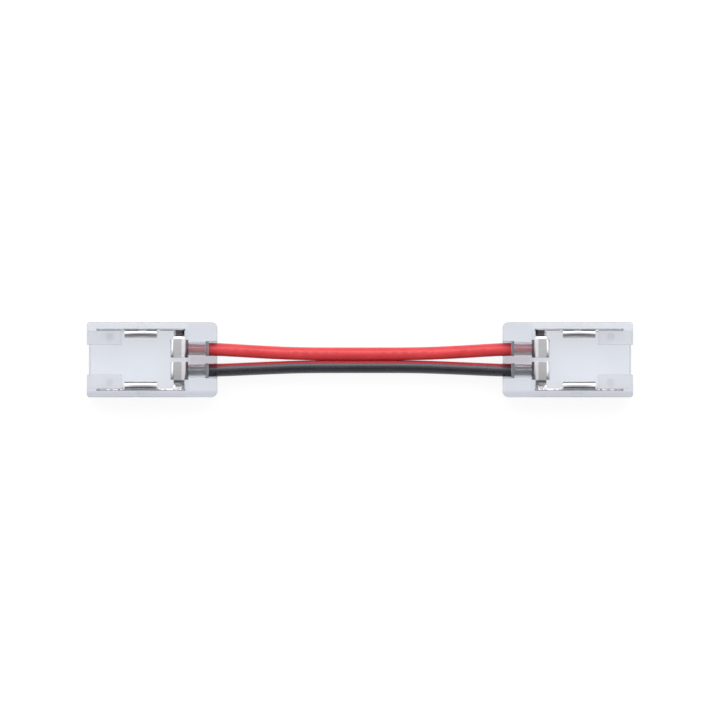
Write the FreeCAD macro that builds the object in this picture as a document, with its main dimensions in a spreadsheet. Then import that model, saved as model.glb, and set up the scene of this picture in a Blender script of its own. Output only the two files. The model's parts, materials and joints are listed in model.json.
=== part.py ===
import FreeCAD, Part
import math
import os
import Sketcher

# Solderless connector that joins two 8 mm light strips: a clear housing at each end of a short
# red and black twin lead, with two sprung metal contacts in each housing.
# Millimetres. X runs along the lead, Y across it with the red wire at +Y, and Z up from the faces
# that the housings rest on. The origin is midway between the housings, on that resting plane.

doc = FreeCAD.newDocument("strip_connector")
sheet = doc.addObject("Spreadsheet::Sheet", "Sizes")

DRIVING_SIZES = {
    # The slot that takes the strip, and the walls round it.
    "strip_width": 8.0,
    "strip_side_gap": 0.075,
    "side_wall": 1.175,
    "floor_thickness": 0.8,
    "slot_height": 1.6,
    "ear_thickness": 1.6,
    "ear_length": 4.8,
    "ear_gap": 4.2,
    "lip_setback": 0.12,
    "lip_chamfer": 0.3,
    "strip_depth": 10.5,
    "stop_rise": 0.4,
    # The housing's wire end: open channels, then roofed bores, then the bay for the contacts.
    "channel_length": 1.15,
    "bore_length": 2.85,
    "contact_bay_length": 3.7,
    "bore_clearance": 0.08,
    "channel_clearance": 0.15,
    "mouth_ramp": 0.45,
    # The housing's rounded edges and small moulded features.
    "wire_corner_radius": 0.8,
    "mouth_corner_radius": 0.4,
    "top_edge_radius": 0.2,
    "foot_edge_radius": 0.1,
    "rim_radius": 0.08,
    "relief_length": 1.25,
    "relief_width": 0.5,
    "relief_drop": 1.4,
    "relief_inset": 1.35,
    "pin_mark_radius": 0.55,
    "pin_mark_depth": 0.05,
    "pin_mark_setback": 3.1,
    "pin_mark_inset": 1.1,
    # The contact's upright sheet and the groove that holds it.
    "metal": 0.25,
    "groove_clearance": 0.05,
    "groove_sink": 0.3,
    "sheet_inset": 0.42,
    "sheet_setback": 1.4,
    "sheet_rise": 2.2,
    "notch_width": 0.35,
    "notch_depth": 0.45,
    "notch_inset": 0.15,
    # The rolled spring finger that presses on the strip's pad.
    "finger_stop_gap": 0.75,
    "finger_ear_gap": 0.45,
    "finger_reach": 1.3,
    "finger_rise": 2.85,
    "finger_gap": 0.2,
    "finger_foot": 0.7,
    "finger_flat": 0.1,
    "shoulder_length": 0.4,
    "shoulder_rise": 0.35,
    # The fork that cuts into the wire, and the arm that joins it to the sheet.
    "fork_clearance": 0.08,
    "fork_length": 2.5,
    "fork_width": 2.5,
    "fork_headroom": 0.3,
    "fork_foot_gap": 0.05,
    "fork_inner_radius": 0.25,
    "fork_point": 0.3,
    "pocket_depth": 0.35,
    "pocket_clearance": 0.1,
    "plate_overhang": 0.6,
    "plate_droop": 0.2,
    "arm_dip": 0.3,
    "arm_lean": 0.05,
    "arm_inner_radius": 0.12,
    # The twin lead.
    "housing_gap": 40.0,
    "bond_half_length": 6.0,
    "split_half_length": 12.5,
    "split_offset": 1.09,
    "bend_inset": 1.6,
    "wire_diameter": 1.8,
    "wire_spread": 3.1,
    "strand_diameter": 0.31,
    "strand_gap": 0.01,
    "bore_slack": 0.01,
    "web_width": 0.5,
    "web_rise": 0.005,
}
for row, (alias, number) in enumerate(DRIVING_SIZES.items(), start=1):
    sheet.set(f"A{row}", alias)
    sheet.set(f"B{row}", str(number))
    sheet.setAlias(f"B{row}", alias)
doc.recompute()

# Places that several pieces share, each worked out from the driving sizes. The housings and
# contacts are drawn in one end's own frame: x from the wire face out to the strip's mouth.
SLOT_HALF = "(Sizes.strip_width / 2 + Sizes.strip_side_gap)"
BODY_HALF = f"({SLOT_HALF} + Sizes.side_wall)"
BODY_TOP = "(Sizes.floor_thickness + Sizes.slot_height + Sizes.ear_thickness)"
EAR_UNDERSIDE = "(Sizes.floor_thickness + Sizes.slot_height)"
BAY_START = "(Sizes.channel_length + Sizes.bore_length)"
STRIP_STOP = f"({BAY_START} + Sizes.contact_bay_length)"
BODY_LENGTH = f"({STRIP_STOP} + Sizes.strip_depth)"
EAR_START = f"({BODY_LENGTH} - Sizes.ear_length)"
RAISED_FLOOR = "(Sizes.floor_thickness + Sizes.stop_rise)"
WIRE_AXIS = f"({RAISED_FLOOR} + Sizes.wire_diameter / 2)"
WIRE_OFFSET = "(Sizes.wire_spread / 2)"
SHEET_MIDDLE = f"({SLOT_HALF} + Sizes.metal / 2)"
SHEET_OUTSIDE = f"({SLOT_HALF} + Sizes.metal)"
SHEET_FOOT = "(Sizes.floor_thickness - Sizes.groove_sink)"
SHEET_END = f"({BODY_LENGTH} - Sizes.sheet_setback)"
SHEET_TOP = "(Sizes.floor_thickness + Sizes.sheet_rise)"
FINGER_START = f"({STRIP_STOP} + Sizes.finger_stop_gap)"
FINGER_END = f"({EAR_START} - Sizes.finger_ear_gap)"
FINGER_TOP = "(Sizes.floor_thickness + Sizes.finger_rise)"
FINGER_ROLL = "((Sizes.finger_reach - Sizes.finger_flat) / 2)"
FORK_START = f"({BAY_START} + Sizes.fork_clearance)"
FORK_END = f"({FORK_START} + Sizes.fork_length)"
SHEET_START = f"({FORK_START} + Sizes.sheet_inset)"
FORK_TOP = f"({WIRE_AXIS} + Sizes.wire_diameter / 2 + Sizes.fork_headroom + Sizes.metal)"
POCKET_FLOOR = f"({RAISED_FLOOR} - Sizes.pocket_depth)"
FORK_FOOT = f"({POCKET_FLOOR} + Sizes.fork_foot_gap)"
HALF_GAP = "(Sizes.housing_gap / 2)"
BUNDLE_RADIUS = "(1.5 * Sizes.strand_diameter + Sizes.strand_gap)"
SLIT_HALF = f"({BUNDLE_RADIUS} + Sizes.bore_slack / 2)"

# Cuts that leave through an outside face run on past it by this much.
RUN_OUT = 1.0

# Two lengths that differ by less than this are taken as the same.
SAME_LENGTH = 0.001

X_AXIS = FreeCAD.Vector(1, 0, 0)
Y_AXIS = FreeCAD.Vector(0, 1, 0)
Z_AXIS = FreeCAD.Vector(0, 0, 1)


def value(expression):
    """The number that an expression on the sheet gives."""
    return float(sheet.evalExpression(expression))


def sketch_on(body, name, plane, level):
    """A sketch on one of the body's own origin planes, moved along that plane's axis to a level."""
    origin_plane = next(item for item in body.Origin.OriginFeatures if item.Role == plane)
    sketch = body.newObject("Sketcher::SketchObject", name)
    sketch.AttachmentSupport = [(origin_plane, "")]
    sketch.MapMode = "FlatFace"
    sign = -1 if plane == "XZ_Plane" else 1
    sketch.setExpression(".AttachmentOffset.Base.z", f"{sign} * ({level})")
    return sketch


def pin_point(sketch, geometry, vertex, across, up):
    """Ties one point of a sketch to the sketch's origin by its two distances."""
    for kind, expression in (("DistanceX", across), ("DistanceY", up)):
        constraint = Sketcher.Constraint(kind, -1, 1, geometry, vertex, value(expression))
        index = sketch.addConstraint(constraint)
        sketch.setExpression(f"Constraints[{index}]", expression)


def draw_outline(sketch, corners):
    """A closed outline of straight edges, every corner bound to the sheet."""
    spots = [FreeCAD.Vector(value(across), value(up), 0) for across, up in corners]
    lines = [
        sketch.addGeometry(Part.LineSegment(start, end))
        for start, end in zip(spots, spots[1:] + spots[:1])
    ]
    for line, following in zip(lines, lines[1:] + lines[:1]):
        sketch.addConstraint(Sketcher.Constraint("Coincident", line, 2, following, 1))
    for line, (across, up) in zip(lines, corners):
        pin_point(sketch, line, 1, across, up)


def draw_circle(sketch, across, up, radius):
    """A circle whose centre and radius are bound to the sheet."""
    centre = FreeCAD.Vector(value(across), value(up), 0)
    circle = sketch.addGeometry(Part.Circle(centre, Z_AXIS, value(radius)))
    pin_point(sketch, circle, 3, across, up)
    index = sketch.addConstraint(Sketcher.Constraint("Radius", circle, value(radius)))
    sketch.setExpression(f"Constraints[{index}]", radius)


def extrude(body, kind, name, plane, low, high, outlines=(), circles=()):
    """A pad or a pocket between two levels along the plane's axis."""
    before = body.Shape.Volume if body.Tip else 0.0
    sketch = sketch_on(body, f"{name}_sketch", plane, f"(({low}) + ({high})) / 2")
    for corners in outlines:
        draw_outline(sketch, corners)
    for across, up, radius in circles:
        draw_circle(sketch, across, up, radius)
    feature = body.newObject(f"PartDesign::{kind}", name)
    feature.Profile = sketch
    feature.SideType = "Symmetric"
    feature.setExpression("Length", f"({high}) - ({low})")
    doc.recompute()
    change = body.Shape.Volume - before
    if (change <= 0) if kind == "Pad" else (change >= 0):
        raise RuntimeError(f"{body.Label}: {name} changed nothing")


def rectangle(left, right, bottom, top):
    """Corners of a rectangle, in order."""
    return [(left, bottom), (right, bottom), (right, top), (left, top)]


def between(centre, half):
    """Low and high expressions of a span about its centre."""
    return f"{centre} - {half}", f"{centre} + {half}"


def dress_edges(body, kind, name, size, wanted):
    """A fillet or chamfer on the edges of the body's last feature that a test picks out."""
    base = body.Tip
    edges = [f"Edge{number}" for number, edge in enumerate(base.Shape.Edges, start=1) if wanted(edge)]
    if not edges:
        raise RuntimeError(f"{body.Label}: no edge for {name}")
    feature = body.newObject(f"PartDesign::{kind}", name)
    feature.Base = (base, edges)
    feature.setExpression("Radius" if kind == "Fillet" else "Size", size)
    doc.recompute()


def runs_along(edge, axis):
    """True where an edge is straight and parallel to an axis."""
    return isinstance(edge.Curve, Part.Line) and edge.Curve.Direction.cross(axis).Length < SAME_LENGTH


def near(first, second):
    """True where two lengths are the same."""
    return abs(first - second) < SAME_LENGTH


def place_end(body, end):
    """Puts a piece drawn in an end's frame at the left (-1) or right (1) end of the lead."""
    body.Placement = FreeCAD.Placement(FreeCAD.Vector(), FreeCAD.Rotation(Z_AXIS, 90 - 90 * end))
    body.setExpression(".Placement.Base.x", f"{end} * {HALF_GAP}")
    doc.recompute()


def make_housing(name, end):
    """One clear moulding: a tray for the strip with two corner ears, and a solid block that the
    wires enter through bores. It is the same moulding at both ends, turned half round."""
    body = doc.addObject("PartDesign::Body", name)
    body.Label = name
    length = value(BODY_LENGTH)
    top = value(BODY_TOP)

    extrude(body, "Pad", "block", "XY_Plane", "0", BODY_TOP,
            [rectangle("0", BODY_LENGTH, f"-{BODY_HALF}", BODY_HALF)])
    dress_edges(body, "Fillet", "wire_corners", "Sizes.wire_corner_radius",
                lambda edge: runs_along(edge, Z_AXIS) and near(edge.CenterOfMass.x, 0))
    dress_edges(body, "Fillet", "mouth_corners", "Sizes.mouth_corner_radius",
                lambda edge: runs_along(edge, Z_AXIS) and near(edge.CenterOfMass.x, length))
    dress_edges(body, "Fillet", "top_edges", "Sizes.top_edge_radius",
                lambda edge: near(edge.CenterOfMass.z, top))
    dress_edges(body, "Fillet", "foot_edges", "Sizes.foot_edge_radius",
                lambda edge: near(edge.CenterOfMass.z, 0))

    # The tray is open above, apart from the two ears at its mouth.
    past_end = f"{BODY_LENGTH} + {RUN_OUT}"
    past_top = f"{BODY_TOP} + {RUN_OUT}"
    ear_edge = "(Sizes.ear_gap / 2)"
    tray = [
        (STRIP_STOP, f"-{SLOT_HALF}"),
        (EAR_START, f"-{SLOT_HALF}"),
        (EAR_START, f"-{ear_edge}"),
        (past_end, f"-{ear_edge}"),
        (past_end, ear_edge),
        (EAR_START, ear_edge),
        (EAR_START, SLOT_HALF),
        (STRIP_STOP, SLOT_HALF),
    ]
    extrude(body, "Pocket", "tray", "XY_Plane", "Sizes.floor_thickness", past_top, [tray])
    extrude(body, "Pocket", "strip_slot", "YZ_Plane", STRIP_STOP, past_end,
            [rectangle(f"-{SLOT_HALF}", SLOT_HALF, "Sizes.floor_thickness", EAR_UNDERSIDE)])
    extrude(body, "Pocket", "lip", "XY_Plane", f"-{RUN_OUT}", past_top,
            [rectangle(f"{BODY_LENGTH} - Sizes.lip_setback", past_end, f"-{ear_edge}", ear_edge)])

    # The bay for the forks is open above, on a floor raised by the step that stops the strip.
    extrude(body, "Pocket", "contact_bay", "XY_Plane", RAISED_FLOOR, past_top,
            [rectangle(BAY_START, STRIP_STOP, f"-{SLOT_HALF}", SLOT_HALF)])
    sides = (-1, 1)
    leg_rooms = (
        (FORK_START, f"{FORK_START} + Sizes.metal"),
        (f"{FORK_END} - Sizes.metal", FORK_END),
    )
    pocket_half = "(Sizes.fork_width / 2 + Sizes.pocket_clearance)"
    leg_pockets = [
        rectangle(f"{start} - Sizes.fork_clearance", f"{stop} + Sizes.fork_clearance",
                  *between(f"{side} * {WIRE_OFFSET}", pocket_half))
        for side in sides
        for start, stop in leg_rooms
    ]
    extrude(body, "Pocket", "leg_pockets", "XY_Plane", POCKET_FLOOR, RAISED_FLOOR, leg_pockets)

    # Each contact's sheet stands in a groove along the wall, pressed in from above.
    groove_near = f"({SLOT_HALF} - Sizes.groove_clearance)"
    groove_far = f"({SHEET_OUTSIDE} + Sizes.groove_clearance)"
    groove_ends = (
        f"{SHEET_START} - Sizes.groove_clearance",
        f"{SHEET_END} + Sizes.groove_clearance",
    )
    grooves = [
        rectangle(*groove_ends, f"-{groove_far}", f"-{groove_near}"),
        rectangle(*groove_ends, groove_near, groove_far),
    ]
    extrude(body, "Pocket", "grooves", "XY_Plane", SHEET_FOOT, past_top, grooves)

    # A relief behind each finger lets it spring outwards.
    relief_far = f"({groove_far} + Sizes.relief_width)"
    relief_start = f"{FINGER_START} + Sizes.relief_inset"
    relief_end = f"{relief_start} + Sizes.relief_length"
    reliefs = [
        rectangle(relief_start, relief_end, f"-{relief_far}", f"-{groove_near}"),
        rectangle(relief_start, relief_end, groove_near, relief_far),
    ]
    extrude(body, "Pocket", "reliefs", "XY_Plane", f"{BODY_TOP} - Sizes.relief_drop", past_top, reliefs)

    # Each wire enters along an open channel, and then through a roofed bore.
    bores = [
        (f"{side} * {WIRE_OFFSET}", WIRE_AXIS, "Sizes.wire_diameter / 2 + Sizes.bore_clearance")
        for side in sides
    ]
    extrude(body, "Pocket", "bores", "YZ_Plane", f"-{RUN_OUT}", f"{BAY_START} + Sizes.fork_clearance / 2",
            circles=bores)
    channel_half = "(Sizes.wire_diameter / 2 + Sizes.channel_clearance)"
    channel_rounds = [(f"{side} * {WIRE_OFFSET}", WIRE_AXIS, channel_half) for side in sides]
    channel_slots = [
        rectangle(*between(f"{side} * {WIRE_OFFSET}", channel_half), WIRE_AXIS, past_top)
        for side in sides
    ]
    extrude(body, "Pocket", "channel_rounds", "YZ_Plane", f"-{RUN_OUT}", "Sizes.channel_length",
            circles=channel_rounds)
    extrude(body, "Pocket", "channel_slots", "YZ_Plane", f"-{RUN_OUT}", "Sizes.channel_length",
            channel_slots)

    # A ramp under the roof's front edge, as wide as the channel, leads the wire into its bore.
    bore_top = f"({WIRE_AXIS} + Sizes.wire_diameter / 2 + Sizes.bore_clearance)"
    ramp_end = "(Sizes.channel_length + Sizes.mouth_ramp)"
    ramp = [
        ("Sizes.channel_length", WIRE_AXIS),
        (ramp_end, WIRE_AXIS),
        (ramp_end, bore_top),
        ("Sizes.channel_length", f"{bore_top} + Sizes.mouth_ramp"),
    ]
    for side, pole in ((-1, "negative"), (1, "positive")):
        extrude(body, "Pocket", f"{pole}_ramp", "XZ_Plane",
                *between(f"{side} * {WIRE_OFFSET}", channel_half), [ramp])

    # Round marks that the mould's ejector pins leave on the ears.
    pin_marks = [
        (f"{BODY_LENGTH} - Sizes.pin_mark_setback",
         f"{side} * ({ear_edge} + Sizes.pin_mark_inset)", "Sizes.pin_mark_radius")
        for side in sides
    ]
    extrude(body, "Pocket", "pin_marks", "XY_Plane", f"{BODY_TOP} - Sizes.pin_mark_depth", past_top,
            circles=pin_marks)

    # The mouth's lower lip is chamfered so that the strip slides in.
    lip_x = value(f"{BODY_LENGTH} - Sizes.lip_setback")
    floor_z = value("Sizes.floor_thickness")
    dress_edges(body, "Chamfer", "lip_bevel", "Sizes.lip_chamfer",
                lambda edge: runs_along(edge, Y_AXIS) and near(edge.CenterOfMass.x, lip_x)
                and near(edge.CenterOfMass.z, floor_z))

    # The rims of the openings in the top face are slightly rounded.
    dress_edges(body, "Fillet", "rims", "Sizes.rim_radius",
                lambda edge: rim_of_opening(edge, top))
    place_end(body, end)
    return body


def rim_of_opening(edge, top):
    """True for the straight edges round the tray, the channels and the bay in the top face."""
    box = edge.BoundBox
    flat_at_top = near(box.ZMin, top) and near(box.ZMax, top)
    across_room = value(SLOT_HALF) - value("Sizes.groove_clearance") - 0.01
    inside = max(abs(box.YMin), abs(box.YMax)) < across_room
    return flat_at_top and inside and isinstance(edge.Curve, Part.Line)


def make_contact(name, end, side):
    """One stamped and bent contact: a two-legged fork over the wire's end, an arm from it to an
    upright sheet in the wall's groove, and a rolled spring finger over the strip's pad."""
    body = doc.addObject("PartDesign::Body", name)
    body.Label = name
    add_fork(body, side)
    add_arm(body, side)
    add_sheet(body, side)
    add_finger(body, side)
    place_end(body, end)
    return body


def edge_at(edge, axis, **place):
    """True for a straight edge along an axis whose middle has the coordinates given."""
    return runs_along(edge, axis) and all(
        near(getattr(edge.CenterOfMass, letter), number) for letter, number in place.items()
    )


def add_fork(body, side):
    """The inverted U over the wire, with a slotted and pointed leg near each end of it."""
    wire_y = f"{side} * {WIRE_OFFSET}"
    fork_outline = [
        (FORK_START, FORK_FOOT),
        (FORK_START, FORK_TOP),
        (FORK_END, FORK_TOP),
        (FORK_END, FORK_FOOT),
        (f"{FORK_END} - Sizes.metal", FORK_FOOT),
        (f"{FORK_END} - Sizes.metal", f"{FORK_TOP} - Sizes.metal"),
        (f"{FORK_START} + Sizes.metal", f"{FORK_TOP} - Sizes.metal"),
        (f"{FORK_START} + Sizes.metal", FORK_FOOT),
    ]
    extrude(body, "Pad", "fork", "XZ_Plane", *between(wire_y, "Sizes.fork_width / 2"), [fork_outline])
    top = value(FORK_TOP)
    dress_edges(body, "Fillet", "fork_bends", "Sizes.metal + Sizes.fork_inner_radius",
                lambda edge: edge_at(edge, Y_AXIS, z=top))
    dress_edges(body, "Fillet", "fork_bends_inside", "Sizes.fork_inner_radius",
                lambda edge: edge_at(edge, Y_AXIS, z=top - value("Sizes.metal")))

    # The slot in both legs is as wide as the wire's strands, with a flared way in below.
    past_foot = f"{FORK_FOOT} - {RUN_OUT}"
    throat = f"{FORK_FOOT} + Sizes.fork_point"
    flare = f"({SLIT_HALF} + Sizes.fork_point)"
    slit = [
        (f"{wire_y} - {SLIT_HALF} - Sizes.fork_point", FORK_FOOT),
        (f"{wire_y} - {SLIT_HALF}", throat),
        (f"{wire_y} - {SLIT_HALF}", WIRE_AXIS),
        (f"{wire_y} + {SLIT_HALF}", WIRE_AXIS),
        (f"{wire_y} + {SLIT_HALF}", throat),
        (f"{wire_y} + {SLIT_HALF} + Sizes.fork_point", FORK_FOOT),
        (f"{wire_y} + {flare}", past_foot),
        (f"{wire_y} - {flare}", past_foot),
    ]
    legs = (f"{FORK_START} - {RUN_OUT}", f"{FORK_END} + {RUN_OUT}")
    extrude(body, "Pocket", "fork_slit", "YZ_Plane", *legs, [slit])
    extrude(body, "Pocket", "fork_slit_round", "YZ_Plane", *legs, circles=[(wire_y, WIRE_AXIS, SLIT_HALF)])


def add_arm(body, side):
    """The strap that dips from the sheet's top edge and climbs to the plate on top of the fork,
    which droops a little past the fork's edge."""
    fork_edge = f"({WIRE_OFFSET} + Sizes.fork_width / 2)"
    plate_start = f"({fork_edge} - Sizes.metal)"
    plate_end = f"({fork_edge} + Sizes.plate_overhang)"
    plate_low = f"({FORK_TOP} - Sizes.plate_droop)"
    riser = f"({plate_end} + Sizes.arm_lean)"
    dip = f"({SHEET_TOP} - Sizes.arm_dip)"
    arm_outline = [
        (f"{side} * {SHEET_OUTSIDE}", f"{SHEET_TOP} - Sizes.metal"),
        (f"{side} * {SHEET_OUTSIDE}", SHEET_TOP),
        (f"{side} * {riser}", dip),
        (f"{side} * {plate_end}", plate_low),
        (f"{side} * {fork_edge}", FORK_TOP),
        (f"{side} * {plate_start}", FORK_TOP),
        (f"{side} * {plate_start}", f"{FORK_TOP} - Sizes.metal"),
        (f"{side} * ({plate_end} - Sizes.metal)", f"{plate_low} - Sizes.metal"),
        (f"{side} * ({riser} - Sizes.metal)", f"{dip} - Sizes.metal"),
    ]
    bend = "(Sizes.metal + Sizes.fork_inner_radius)"
    extrude(body, "Pad", "arm", "YZ_Plane", f"{FORK_START} + {bend}", f"{FORK_END} - {bend}", [arm_outline])
    outer_bends = (
        (value(f"{side} * {plate_end}"), value(plate_low)),
        (value(f"{side} * ({riser} - Sizes.metal)"), value(f"{dip} - Sizes.metal")),
    )
    inner_bends = (
        (value(f"{side} * {riser}"), value(dip)),
        (value(f"{side} * ({plate_end} - Sizes.metal)"), value(f"{plate_low} - Sizes.metal")),
    )
    half_arm = f"({SHEET_OUTSIDE} - {riser} + Sizes.metal) / 2"
    dress_edges(body, "Fillet", "arm_bends", f"min(Sizes.metal + Sizes.arm_inner_radius; {half_arm})",
                lambda edge: any(edge_at(edge, X_AXIS, y=y, z=z) for y, z in outer_bends))
    dress_edges(body, "Fillet", "arm_bends_inside", "Sizes.arm_inner_radius",
                lambda edge: any(edge_at(edge, X_AXIS, y=y, z=z) for y, z in inner_bends))


def add_sheet(body, side):
    """The upright sheet, with its notch and the shoulders at the finger's root."""
    notch_start = f"({EAR_START} + Sizes.notch_inset)"
    notch_end = f"({notch_start} + Sizes.notch_width)"
    shoulder_start = f"{FINGER_START} - Sizes.shoulder_length"
    shoulder_end = f"{FINGER_END} + Sizes.shoulder_length"
    shoulder_top = f"{SHEET_TOP} + Sizes.shoulder_rise"
    root = f"{FINGER_TOP} - {FINGER_ROLL}"
    outline = [
        (SHEET_START, SHEET_FOOT),
        (SHEET_END, SHEET_FOOT),
        (SHEET_END, SHEET_TOP),
        (notch_end, SHEET_TOP),
        (notch_end, f"{SHEET_TOP} - Sizes.notch_depth"),
        (notch_start, f"{SHEET_TOP} - Sizes.notch_depth"),
        (notch_start, SHEET_TOP),
        (shoulder_end, SHEET_TOP),
        (shoulder_end, shoulder_top),
        (FINGER_END, shoulder_top),
        (FINGER_END, root),
        (FINGER_START, root),
        (FINGER_START, shoulder_top),
        (shoulder_start, shoulder_top),
        (shoulder_start, SHEET_TOP),
        (SHEET_START, SHEET_TOP),
    ]
    faces = between(f"{side} * {SHEET_MIDDLE}", "Sizes.metal / 2")
    extrude(body, "Pad", "sheet", "XZ_Plane", *faces, [outline])


def add_finger(body, side):
    """The finger rolls over from the sheet's top edge and comes down to a turned-in foot."""
    outer = f"{side} * {SHEET_OUTSIDE}"
    outer_inside = f"{side} * {SLOT_HALF}"
    inner = f"{side} * ({SHEET_OUTSIDE} - Sizes.finger_reach)"
    inner_inside = f"{side} * ({SHEET_OUTSIDE} - Sizes.finger_reach + Sizes.metal)"
    foot_end = f"{side} * ({SHEET_OUTSIDE} - Sizes.finger_reach + Sizes.finger_foot)"
    root = f"{FINGER_TOP} - {FINGER_ROLL} - Sizes.metal"
    foot = "(Sizes.floor_thickness + Sizes.finger_gap)"
    finger = [
        (outer, root),
        (outer, FINGER_TOP),
        (inner, FINGER_TOP),
        (inner, foot),
        (foot_end, foot),
        (foot_end, f"{foot} + Sizes.metal"),
        (inner_inside, f"{foot} + Sizes.metal"),
        (inner_inside, f"{FINGER_TOP} - Sizes.metal"),
        (outer_inside, f"{FINGER_TOP} - Sizes.metal"),
        (outer_inside, root),
    ]
    extrude(body, "Pad", "finger", "YZ_Plane", FINGER_START, FINGER_END, [finger])
    top = value(FINGER_TOP)
    foot_z = value(foot)
    metal = value("Sizes.metal")
    dress_edges(body, "Fillet", "finger_roll", FINGER_ROLL,
                lambda edge: edge_at(edge, X_AXIS, z=top))
    dress_edges(body, "Fillet", "finger_roll_inside", f"{FINGER_ROLL} - Sizes.metal",
                lambda edge: edge_at(edge, X_AXIS, z=top - metal))
    dress_edges(body, "Fillet", "finger_heel", "2 * Sizes.metal",
                lambda edge: edge_at(edge, X_AXIS, y=value(inner), z=foot_z))
    dress_edges(body, "Fillet", "finger_heel_inside", "Sizes.metal",
                lambda edge: edge_at(edge, X_AXIS, y=value(inner_inside), z=foot_z + metal))


# The share of the shorter run beside it that each of a route's arcs takes up.
ARC_SHARE = 0.45


def route_wire(points, stretch=0.0):
    """A flat route of straight runs joined by tangent arcs, its two ends carried on by a stretch.
    Each arc takes the same share of the shorter run beside it."""
    corners = [FreeCAD.Vector(x, y, 0) for x, y in points]
    runs = [end - start for start, end in zip(corners, corners[1:])]
    headings = [FreeCAD.Vector(run).normalize() for run in runs]
    edges = []
    radii = []
    position = corners[0] - headings[0] * stretch
    for index, corner in enumerate(corners[1:-1], start=1):
        before, after = headings[index - 1], headings[index]
        half_turn = before.getAngle(after) / 2
        tangent = ARC_SHARE * min(runs[index - 1].Length, runs[index].Length)
        radius = tangent / math.tan(half_turn)
        inward = FreeCAD.Vector(after - before).normalize()
        arc_start = corner - before * tangent
        arc_end = corner + after * tangent
        arc_middle = corner + inward * (radius / math.cos(half_turn) - radius)
        edges.append(Part.LineSegment(position, arc_start).toShape())
        edges.append(Part.Arc(arc_start, arc_middle, arc_end).toShape())
        radii.append(radius)
        position = arc_end
    edges.append(Part.LineSegment(position, corners[-1] + headings[-1] * stretch).toShape())
    return Part.Wire(edges), radii


def lead_points(side):
    """The route of one wire's axis, seen from above, from the left fork to the right one."""
    fork_x = value(f"{HALF_GAP} + {FORK_END} - Sizes.metal")
    housing_y = side * value(WIRE_OFFSET)
    bonded_y = side * value("Sizes.wire_diameter / 2 + Sizes.web_rise")
    right_half = [
        (value("Sizes.bond_half_length"), bonded_y),
        (value("Sizes.split_half_length"), side * value("Sizes.split_offset")),
        (value(f"{HALF_GAP} + Sizes.bend_inset"), housing_y),
        (fork_x, housing_y),
    ]
    return [(-x, y) for x, y in reversed(right_half)] + right_half


def insulation_section(start, side):
    """The wire's round section with its strand bore, and on the other wire's side the narrow flat
    where the two wires are moulded together."""
    radius = value("Sizes.wire_diameter / 2")
    flat_y = -side * (radius + value("Sizes.web_rise"))
    half_web = value("Sizes.web_width / 2")
    shoulder_y = -side * math.sqrt(radius ** 2 - half_web ** 2)

    def spot(y, z):
        return start + FreeCAD.Vector(0, y, z)

    low_shoulder, high_shoulder = spot(shoulder_y, -half_web), spot(shoulder_y, half_web)
    low_flat, high_flat = spot(flat_y, -half_web), spot(flat_y, half_web)
    outline = Part.Wire([
        Part.Arc(high_shoulder, spot(side * radius, 0), low_shoulder).toShape(),
        Part.LineSegment(low_shoulder, low_flat).toShape(),
        Part.LineSegment(low_flat, high_flat).toShape(),
        Part.LineSegment(high_flat, high_shoulder).toShape(),
    ])
    bore = Part.Wire(Part.Circle(start, X_AXIS, value(f"{BUNDLE_RADIUS} + Sizes.bore_slack")).toShape())
    return outline, bore


def add_lead_piece(name, shape):
    """Puts a piece drawn on the plane of the wires' axes at its height."""
    piece = doc.addObject("Part::Feature", name)
    piece.Label = name
    piece.Shape = shape
    piece.setExpression(".Placement.Base.z", WIRE_AXIS)
    return piece


def make_insulation(name, side, contacts):
    """PVC drawn over the strands along the whole wire, cut through where the fork's legs bite."""
    points = lead_points(side)
    path, radii = route_wire(points)
    start = FreeCAD.Vector(*points[0], 0)
    outline, bore = insulation_section(start, side)
    whole = path.makePipe(Part.Face(outline)).cut(path.makePipe(Part.Face(bore)))
    section = Part.Face(outline).Area - Part.Face(bore).Area
    print(name, "arc radii", [round(radius, 1) for radius in radii])
    print(name, "length", round(path.Length, 3), "volume", round(whole.Volume, 3),
          "section times length", round(section * path.Length, 3))
    for contact in contacts:
        legs = contact.Shape.copy()
        legs.translate(FreeCAD.Vector(0, 0, -value(WIRE_AXIS)))
        whole = whole.cut(legs)
    return add_lead_piece(name, whole)


def make_strands(prefix, side):
    """Seven tinned copper strands, one in the middle and six round it, in both forks' slots."""
    points = lead_points(side)
    path, _ = route_wire(points, stretch=value("Sizes.metal"))
    start = path.Vertexes[0].Point
    pitch = value("Sizes.strand_diameter + Sizes.strand_gap")
    ring = [math.radians(60 * step) for step in range(6)]
    places = [(0.0, 0.0)] + [(pitch * math.cos(angle), pitch * math.sin(angle)) for angle in ring]
    for number, (y, z) in enumerate(places, start=1):
        centre = start + FreeCAD.Vector(0, y, z)
        circle = Part.Wire(Part.Circle(centre, X_AXIS, value("Sizes.strand_diameter / 2")).toShape())
        add_lead_piece(f"{prefix}_strand_{number}", path.makePipe(Part.Face(circle)))


make_housing("left_housing", -1)
make_housing("right_housing", 1)
wires = {
    "red": ("positive", 1),
    "black": ("negative", -1),
}
for colour, (pole, wire_side) in wires.items():
    contacts = [
        make_contact(f"left_{pole}_contact", -1, -wire_side),
        make_contact(f"right_{pole}_contact", 1, wire_side),
    ]
    make_insulation(f"{colour}_insulation", wire_side, contacts)
    make_strands(colour, wire_side)

doc.recompute()
for item in doc.Objects:
    if "Invalid" in item.State or "Error" in item.State:
        raise RuntimeError(f"{item.Name} failed: {item.State}")
pieces = [item for item in doc.Objects if item.TypeId in ("PartDesign::Body", "Part::Feature")]
for piece in pieces:
    if piece.Shape.isNull() or not piece.Shape.isValid() or len(piece.Shape.Solids) != 1:
        raise RuntimeError(f"{piece.Label} is not one valid solid")
os.makedirs("parts", exist_ok=True)
for piece in pieces:
    piece.Shape.exportStep(f"parts/{piece.Label}.step")
    print(piece.Label, round(piece.Shape.Volume, 3))
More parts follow.
